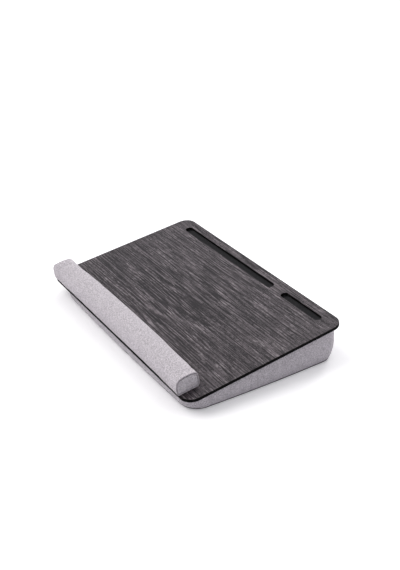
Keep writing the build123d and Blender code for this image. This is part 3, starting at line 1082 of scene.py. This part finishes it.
def inside_opening(face, rows):
    """Whether a cell lies in the zip's opening, by where its corners were before the swelling."""
    numbers = [vert.index for vert in face.verts]
    middle = sum((cover_points[number] for number in numbers), Vector()) / len(numbers)
    behind = middle.y > back_wall - back_zone
    along = abs(middle.x - side_shift) < zip_half_length
    return behind and along and min(numbers) // ring_count in rows


def beside_opening(edge):
    """Whether a bare edge belongs to the zip's opening, not to the cover's foot or top."""
    across = max(abs(vert.co.z - zip_middle_z) for vert in edge.verts) < 2 * zip_half_height
    behind = min(vert.co.y for vert in edge.verts) > back_wall - back_zone
    return edge.is_boundary and across and behind


def cut_zip_opening(piece):
    """Takes out the cells inside the zip's opening and turns its edge inwards."""
    form = bmesh.new()
    form.from_mesh(piece.data)
    rows = opening_rows()
    inside = [face for face in form.faces if inside_opening(face, rows)]
    bmesh.ops.delete(form, geom=inside, context="FACES")
    rim = [edge for edge in form.edges if beside_opening(edge)]
    for vert in {vert for edge in rim for vert in edge.verts}:
        if abs(vert.co.x - side_shift) < zip_half_length - zip_end_run:
            side = 1 if vert.co.z > zip_middle_z else -1
            vert.co.z = zip_middle_z + side * zip_half_height
    for part in bmesh.ops.extrude_edge_only(form, edges=rim)["geom"]:
        if isinstance(part, bmesh.types.BMVert):
            part.co.y -= turned_in
    for face in form.faces:
        face.smooth = True
    form.to_mesh(piece.data)
    form.free()
    return len(inside)


held = hold_over_tape(cushion_cover)
opened = cut_zip_opening(cushion_cover)
smoothed(cushion_cover)
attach(cushion_cover, "cushion")
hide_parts("cushion_side_band", "cushion_fill")
print("zip opening:", opened, "cells cut, cloth held off the tape at", held, "points")

# %% [markdown]
# The panel underneath is black, closely woven and a little rough, so that it shows no dirt and
# doesn't slip off a lap. Its edge stands out from under the band as a thin dark line all round
# the foot of the cushion, a painted contact shadow where the cushion meets the floor. A plain flat
# face would leave that line out, so it is built from rings: from the seam out over the rounded
# edge, then in to the middle.

# %% Base panel
# The first rings push the black edge out past the band's foot: a painted contact shadow line
base_rings = [
    (2.0, 3.4), (1.8, 0.4), (1.2, -0.4), (0.4, 0.0), (0.0, 1.5), (0.0, 6.0), (0.0, 14.0),
    (0.0, 30.0),
]
base_shares = [0.15, 0.3, 0.45, 0.6, 0.75, 0.9]


def base_panel():
    """The panel underneath, with its rounded edge."""
    points = []
    foot_bow = along_profile(bow_profile, 0.0) * side_bow
    for height, inset in base_rings:
        front_inset = (along_profile(edge_rolls, 0.0) + inset) * MM
        back_inset = (along_profile(back_rolls, 0.0) + inset) * MM
        ring = cushion_ring(ring_count, 0.0, front_inset, foot_bow, back_inset)
        points.extend(Vector((point.x, point.y, height * MM)) for point in ring)
    middle = Vector((side_shift, (front_wall + back_wall) / 2, 0))
    inner = points[-ring_count:]
    for share in base_shares:
        points.extend(point.lerp(middle, share) for point in inner)
    points.append(middle)
    rows = len(base_rings) + len(base_shares)
    faces = [tuple(reversed(face)) for face in ring_faces(rows, ring_count)]
    last = (rows - 1) * ring_count
    for step in range(ring_count):
        faces.append((last + (step + 1) % ring_count, last + step, len(points) - 1))
    return mesh_piece("cushion_base", points, faces, black_lining)


cushion_base = base_panel()
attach(cushion_base, "cushion")
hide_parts("cushion_bottom_panel")
print("base panel:", len(cushion_base.data.polygons), "faces")

# %% [markdown]
# The band is stitched down beside the zip, one row above it and one below. Painted stitches would
# lie flat, and a real one catches the light. Each is a short piece of thread, thinner where it
# goes into the cloth. It lies on the cloth, so its place is found by looking at the finished band
# from behind.

# %% Stitches beside the zip
stitch_pitch = 3.4 * MM
stitch_length = 2.5 * MM
stitch_radius = 0.28 * MM
stitch_distance = 2.4 * MM
stitch_lift = 0.1 * MM
stitch_sides = 6
stitch_taper = [(-0.5, 0.35), (-0.3, 1.0), (0.3, 1.0), (0.5, 0.35)]
look_from = 50 * MM


def stitch(points, faces, place, normal):
    """Adds one stitch that runs along the zip at a place on the cloth."""
    base = len(points)
    for along, share in stitch_taper:
        lift = stitch_lift - (1 - share) * stitch_radius
        middle = place + Vector((along * stitch_length, 0, 0)) + normal * lift
        for side in range(stitch_sides):
            turn = 2 * pi * side / stitch_sides
            around = cos(turn) * normal + sin(turn) * Vector((0, 0, 1))
            points.append(middle + stitch_radius * share * around)
    for face in ring_faces(len(stitch_taper), stitch_sides):
        faces.append(tuple(base + corner for corner in face))
    for first in (base, base + (len(stitch_taper) - 1) * stitch_sides):
        faces.append(tuple(first + side for side in range(stitch_sides)))


def stitch_rows():
    """Two rows of stitches along the zip's opening."""
    points = []
    faces = []
    count = int(2 * (zip_half_length - zip_end_run) / stitch_pitch)
    for way in (-1, 1):
        height = zip_middle_z + way * (zip_half_height + stitch_distance)
        for number in range(count + 1):
            x = side_shift + (number - count / 2) * stitch_pitch
            eye = Vector((x, back_wall + look_from, height))
            hit, place, normal, _ = cushion_cover.ray_cast(eye, Vector((0, -1, 0)))
            if hit:
                stitch(points, faces, place, normal)
    return mesh_piece("zip_stitches", points, faces, rest_linen)


zip_stitches = stitch_rows()
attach(zip_stitches, "cushion")
print("stitches:", len(zip_stitches.data.polygons), "faces")

# %% [markdown]
# The black lining closes the top. It is a flat panel, pulled a little between the strips and
# puffed a little by the filling, and it shows only as the floor of the two slots. The cloth
# solver would add nothing there that the eye could find, so a low smooth noise lifts it. Like the
# cover it starts from the same outline, in rings towards the middle.

# %% Lining
lining_count = 216
lining_insets = [4.0, 7.0, 13.0, 22.0, 34.0]
lining_shares = [0.12, 0.27, 0.43, 0.6, 0.78, 0.94]
lining_rise = 0.9 * MM
puff_rings = 4
ripple_share = 0.45
ripple_scale = 22.0
ripple_start = 3.0


def lining_point(point, lift):
    """A point of the lining, lifted out of the plane of the cushion's top."""
    top = underside(point.y, cover_drop)
    return Vector((point.x, point.y, top)) + board_out * lift


def ripple(point):
    """Smooth noise from -1 to 1 across the lining."""
    x = point.x * ripple_scale + ripple_start
    y = point.y * ripple_scale - ripple_start
    return noise.noise(Vector((x, y, 2 * ripple_start)))


lining_middle = Vector((side_shift, (front_wall + back_wall) / 2))
lining_rings = [cushion_ring(lining_count, 1.0, inset * MM, 0.0) for inset in lining_insets]
innermost = lining_rings[-1]
for share in lining_shares:
    lining_rings.append([point.lerp(lining_middle, share) for point in innermost])
lining_points = []
for number, ring in enumerate(lining_rings):
    puff = min(1.0, number / puff_rings) * lining_rise
    for point in ring:
        lift = puff * (1 - ripple_share + ripple_share * ripple(point))
        lining_points.append(lining_point(point, lift))
lining_faces = ring_faces(len(lining_rings), lining_count)
last_ring = (len(lining_rings) - 1) * lining_count
lining_faces.append(tuple(last_ring + step for step in range(lining_count)))
cushion_lining = mesh_piece("cushion_lining", lining_points, lining_faces, black_lining)
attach(cushion_lining, "cushion")
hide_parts("cushion_top_lining")
print("lining:", len(lining_points), "points")

# %% [markdown]
# A welt is a cord sewn into a folded strip of the cover's own cloth. It finishes the edge where
# the band meets the lining and hides the raw edges. A curve with a round bevel would make it in
# one step, but with the same thickness all along. Here it is a tube along the outline, whose
# radius swells and shrinks a little from stitch to stitch.

# %% Welt
welt_inset = 2.8 * MM
welt_radius = 0.8 * MM
welt_sides = 8
welt_stitch = 4 * MM
welt_wobble = 0.08
welt_steps = 3 * ring_count


def welt_tube(path):
    """A closed tube round a closed path, a little thinner at every stitch."""
    points = []
    travelled = 0.0
    for number, here in enumerate(path):
        before, after = path[number - 1], path[(number + 1) % len(path)]
        travelled += (here - before).length
        ahead = (after - before).normalized()
        outward = ahead.cross(board_out).normalized()
        upward = outward.cross(ahead)
        width = welt_radius * (1 + welt_wobble * sin(2 * pi * travelled / welt_stitch))
        for side in range(welt_sides):
            turn = 2 * pi * side / welt_sides
            points.append(here + width * (cos(turn) * outward + sin(turn) * upward))
    faces = ring_faces(len(path), welt_sides)
    last = (len(path) - 1) * welt_sides
    for side in range(welt_sides):
        after = (side + 1) % welt_sides
        faces.append((last + side, last + after, after, side))
    return mesh_piece("cushion_welt", points, faces, cushion_linen)


welt_outline = cushion_ring(welt_steps, 1.0, welt_inset, 0.0)
cushion_welt = welt_tube([lining_point(point, strip_gap / 2) for point in welt_outline])
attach(cushion_welt, "cushion")
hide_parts("cushion_top_welt")
print("welt:", welt_steps, "steps")

# %% [markdown]
# The wrist rest is a bolster: a sleeve of the same linen round a foam core, closed by a panel at
# each end. Its section is a soft D, flat where it lies on the board, and it is fullest in the
# middle because the end panels hold the sleeve in. A scaled cylinder has no flat foot and no
# shoulders. So the section is drawn in the board's directions from a few radii, with its points
# at an even step, and changes along the rest by short profiles.

# %% Section of the wrist rest
rest_half_length = 252 * MM
rest_overhang = 4 * MM
rest_width = 54.5 * MM
rest_height = 35.5 * MM
rest_foot = 4 * MM
least_radius = 1 * MM
top_crown = 1.2 * MM
wall_swell = 0.9 * MM
section_count = 40
corner_steps = 12
back_shoulders = [(0.0, 13.0), (0.8, 12.5), (0.94, 10.5), (1.0, 9.5)]
left_front_shoulders = [(0.0, 13.0), (0.85, 12.5), (0.95, 9.0), (1.0, 7.0)]
width_profile = [(0.0, 0.995), (0.5, 0.97), (0.86, 0.91), (0.96, 0.87), (1.0, 0.85)]
height_profile = [(0.0, 1.0), (0.5, 1.0), (0.86, 0.985), (0.96, 0.98), (1.0, 0.98)]
left_height_profile = [(0.0, 1.0), (0.6, 1.0), (0.9, 1.02), (1.0, 1.045)]


def section_outline(place, inset):
    """The section as a fine closed line of (back, out) points, at a place from -1 to 1."""
    share = abs(place)
    heights = left_height_profile if place < 0 else height_profile
    front = -rest_overhang + inset
    back = rest_width * along_profile(width_profile, share) - rest_overhang - inset
    bottom = strip_gap + inset
    top = strip_gap + rest_height * along_profile(heights, share) - inset - top_crown
    foot = max(rest_foot - inset, least_radius)
    back_shoulder = along_profile(back_shoulders, share) * MM
    front_shoulder = along_profile(left_front_shoulders, share if place < 0 else 0.0) * MM
    back_shoulder = max(back_shoulder - inset, least_radius)
    front_shoulder = max(front_shoulder - inset, least_radius)
    corners = [
        (back - foot, bottom + foot, foot, -pi / 2),
        (back - back_shoulder, top - back_shoulder, back_shoulder, 0.0),
        (front + front_shoulder, top - front_shoulder, front_shoulder, pi / 2),
        (front + foot, bottom + foot, foot, pi),
    ]
    swells = [wall_swell, top_crown, wall_swell, 0.0]
    outline = []
    for number, (y, z, radius, turn) in enumerate(corners):
        for step in range(corner_steps + 1):
            angle = turn + step / corner_steps * pi / 2
            outline.append(Vector((y + radius * cos(angle), z + radius * sin(angle))))
        y2, z2, radius2, turn2 = corners[(number + 1) % 4]
        start = outline[-1]
        end = Vector((y2 + radius2 * cos(turn2), z2 + radius2 * sin(turn2)))
        for step in range(1, corner_steps):
            outline.append(bow_out(start, end, swells[number], step / corner_steps))
    return outline


def rest_section(place, inset):
    """Points (back, out) at an even step round the section, at a place from -1 to 1."""
    outline = section_outline(place, inset)
    afters = outline[1:] + outline[:1]
    lengths = [(after - here).length for here, after in zip(outline, afters)]
    total = sum(lengths)
    points = []
    number = 0
    passed = 0.0
    for step in range(section_count):
        target = total * step / section_count
        while target > passed + lengths[number]:
            passed += lengths[number]
            number += 1
        along = (target - passed) / max(lengths[number], 1e-9)
        points.append(outline[number].lerp(afters[number], along))
    return points


print("section:", section_count, "points")

# %% [markdown]
# The sleeve is one piece of cloth sewn into a tube. It is built as rows of that section along the
# rest, and at each end the last rows turn in over the edge and back, as the hem does that the end
# panel is sewn to. The cloth then swells like the cushion's. The hems are pinned, and so is the
# flat underside, which the strips hold down on the board.

# %% Sleeve of the wrist rest
rest_stations = 85
sleeve_half = rest_half_length - 3 * MM
sleeve_room = 0.7 * MM
end_fade = 30
pinned_rise = 0.3 * MM
turn_in_steps = [(0.5, 0.2), (0.7, 0.8), (0.0, 1.25), (-2.6, 1.3)]


def rest_row(across, place, inset):
    """A row of the wrist rest's points across the board, with the section of a place."""
    return [board_point(across, back, out) for back, out in rest_section(place, inset)]


rest_points = []
for forward, inset in reversed(turn_in_steps):
    rest_points.extend(rest_row(-sleeve_half - forward * MM, -1.0, inset * MM))
for step in range(rest_stations):
    place = 2 * step / (rest_stations - 1) - 1
    room = sleeve_room * (1 - abs(place) ** end_fade)
    rest_points.extend(rest_row(place * sleeve_half, place, room))
for forward, inset in turn_in_steps:
    rest_points.extend(rest_row(sleeve_half + forward * MM, 1.0, inset * MM))
rest_rows = rest_stations + 2 * len(turn_in_steps)
# rest_linen is the paler copy of the cushion's linen, a painted highlight
wrist_rest = mesh_piece(
    "wrist_rest_cover", rest_points, ring_faces(rest_rows, section_count), rest_linen
)
hem = (len(turn_in_steps) + 1) * section_count
low_line = strip_gap + sleeve_room + pinned_rise
fixed = [
    number
    for number, point in enumerate(rest_points)
    if number < hem
    or number >= len(rest_points) - hem
    or (point - board_front).dot(board_out) < low_line
]
swell = inflate(wrist_rest, fixed, pressure=4.0, most=1.3 * MM, shrink=-0.006)
smoothed(wrist_rest)
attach(wrist_rest, "wrist_rest")
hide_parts("rest_sleeve", "rest_base_panel", "rest_foam")
print("wrist rest:", rest_rows, "rows, swells", round(swell / MM, 2), "mm")

# %% [markdown]
# Each end panel is cut a little small and sewn in from inside, so its edge stands as a thin ridge
# just inside the sleeve's folded edge, with a dark groove between them. The panel domes in the
# middle. A flat cap with a bump would lose the ridge's shadow. It is made of rings of the same
# section, from the groove over the ridge to the dome.

# %% End panels
panel_rings = [
    (-2.5, 1.2), (-2.4, 2.9), (-0.4, 3.1), (0.9, 3.5), (1.4, 4.3), (1.1, 5.1), (0.6, 5.8),
    (1.1, 8.0), (1.9, 10.5), (2.4, 12.6),
]
dome_rise = 0.25 * MM


def end_panel(name, side):
    """Domed end panel with its sewn ridge. side is 1 for the right end and -1 for the left."""
    points = []
    for forward, inset in panel_rings:
        points.extend(rest_row(side * (sleeve_half + forward * MM), side, inset * MM))
    middle = sum(points[-section_count:], Vector()) / section_count
    points.append(middle + Vector((side * dome_rise, 0, 0)))
    faces = ring_faces(len(panel_rings), section_count)
    last = (len(panel_rings) - 1) * section_count
    for step in range(section_count):
        faces.append((last + step, last + (step + 1) % section_count, len(points) - 1))
    if side < 0:
        faces = [tuple(reversed(face)) for face in faces]
    # rest_end_linen is the darker copy of the cushion's linen, a painted shade on the ends
    piece = mesh_piece(name, points, faces, rest_end_linen)
    smoothed(piece)
    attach(piece, "wrist_rest")
    return piece


rest_end_right = end_panel("rest_end_right", 1)
rest_end_left = end_panel("rest_end_left", -1)
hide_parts("rest_cap_right", "rest_rim_right")
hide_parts("rest_cap_left", "rest_rim_left")
print("two end panels of", len(rest_end_right.data.polygons), "faces")

# %% [markdown]
# The zip is a coil zip: two spirals of nylon wire, sewn on the tapes, whose turns interlock. A
# spiral swept along a curve would hide half of itself in the tape. Seen from outside each turn is
# a short rounded bar that reaches just past the middle line, and the bars of the two sides
# alternate. So one bar is modelled and repeated along both sides.

# %% Zip coils
coil_pitch = 2.0 * MM
bar_width = 0.8 * MM
bar_thickness = 1.3 * MM
bar_sides = 8
chain_low, chain_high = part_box("zipper_chain")
chain_middle_z = (chain_low[2] + chain_high[2]) / 2
chain_half_height = (chain_high[2] - chain_low[2]) / 2
bar_rings = [
    (-chain_half_height, 0.35),
    (-chain_half_height + 0.5 * MM, 0.9),
    (-0.5 * MM, 1.0),
    (0.7 * MM, 0.95),
    (1.2 * MM, 0.4),
]


def coil_bar(points, faces, x, side):
    """One turn of a coil: a rounded bar from its tape edge to just past the middle."""
    base = len(points)
    for height, share in bar_rings:
        for number in range(bar_sides):
            turn = 2 * pi * number / bar_sides
            across = x + share * bar_width / 2 * cos(turn)
            back = chain_low[1] + bar_thickness / 2 * (1 + share * sin(turn))
            points.append(Vector((across, back, chain_middle_z + side * height)))
    for face in ring_faces(len(bar_rings), bar_sides):
        faces.append(tuple(base + corner for corner in (face if side < 0 else reversed(face))))
    for first in (base, base + (len(bar_rings) - 1) * bar_sides):
        faces.append(tuple(first + number for number in range(bar_sides)))


coil_points = []
coil_faces = []
turns = int((chain_high[0] - chain_low[0]) / coil_pitch)
for number in range(turns):
    start = chain_low[0] + (number + 0.25) * coil_pitch
    coil_bar(coil_points, coil_faces, start, 1)
    coil_bar(coil_points, coil_faces, start + coil_pitch / 2, -1)
zip_coils = mesh_piece("zip_coils", coil_points, coil_faces, zip_coil)
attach(zip_coils, "cushion")
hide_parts("zipper_chain")
print("coil turns:", 2 * turns)
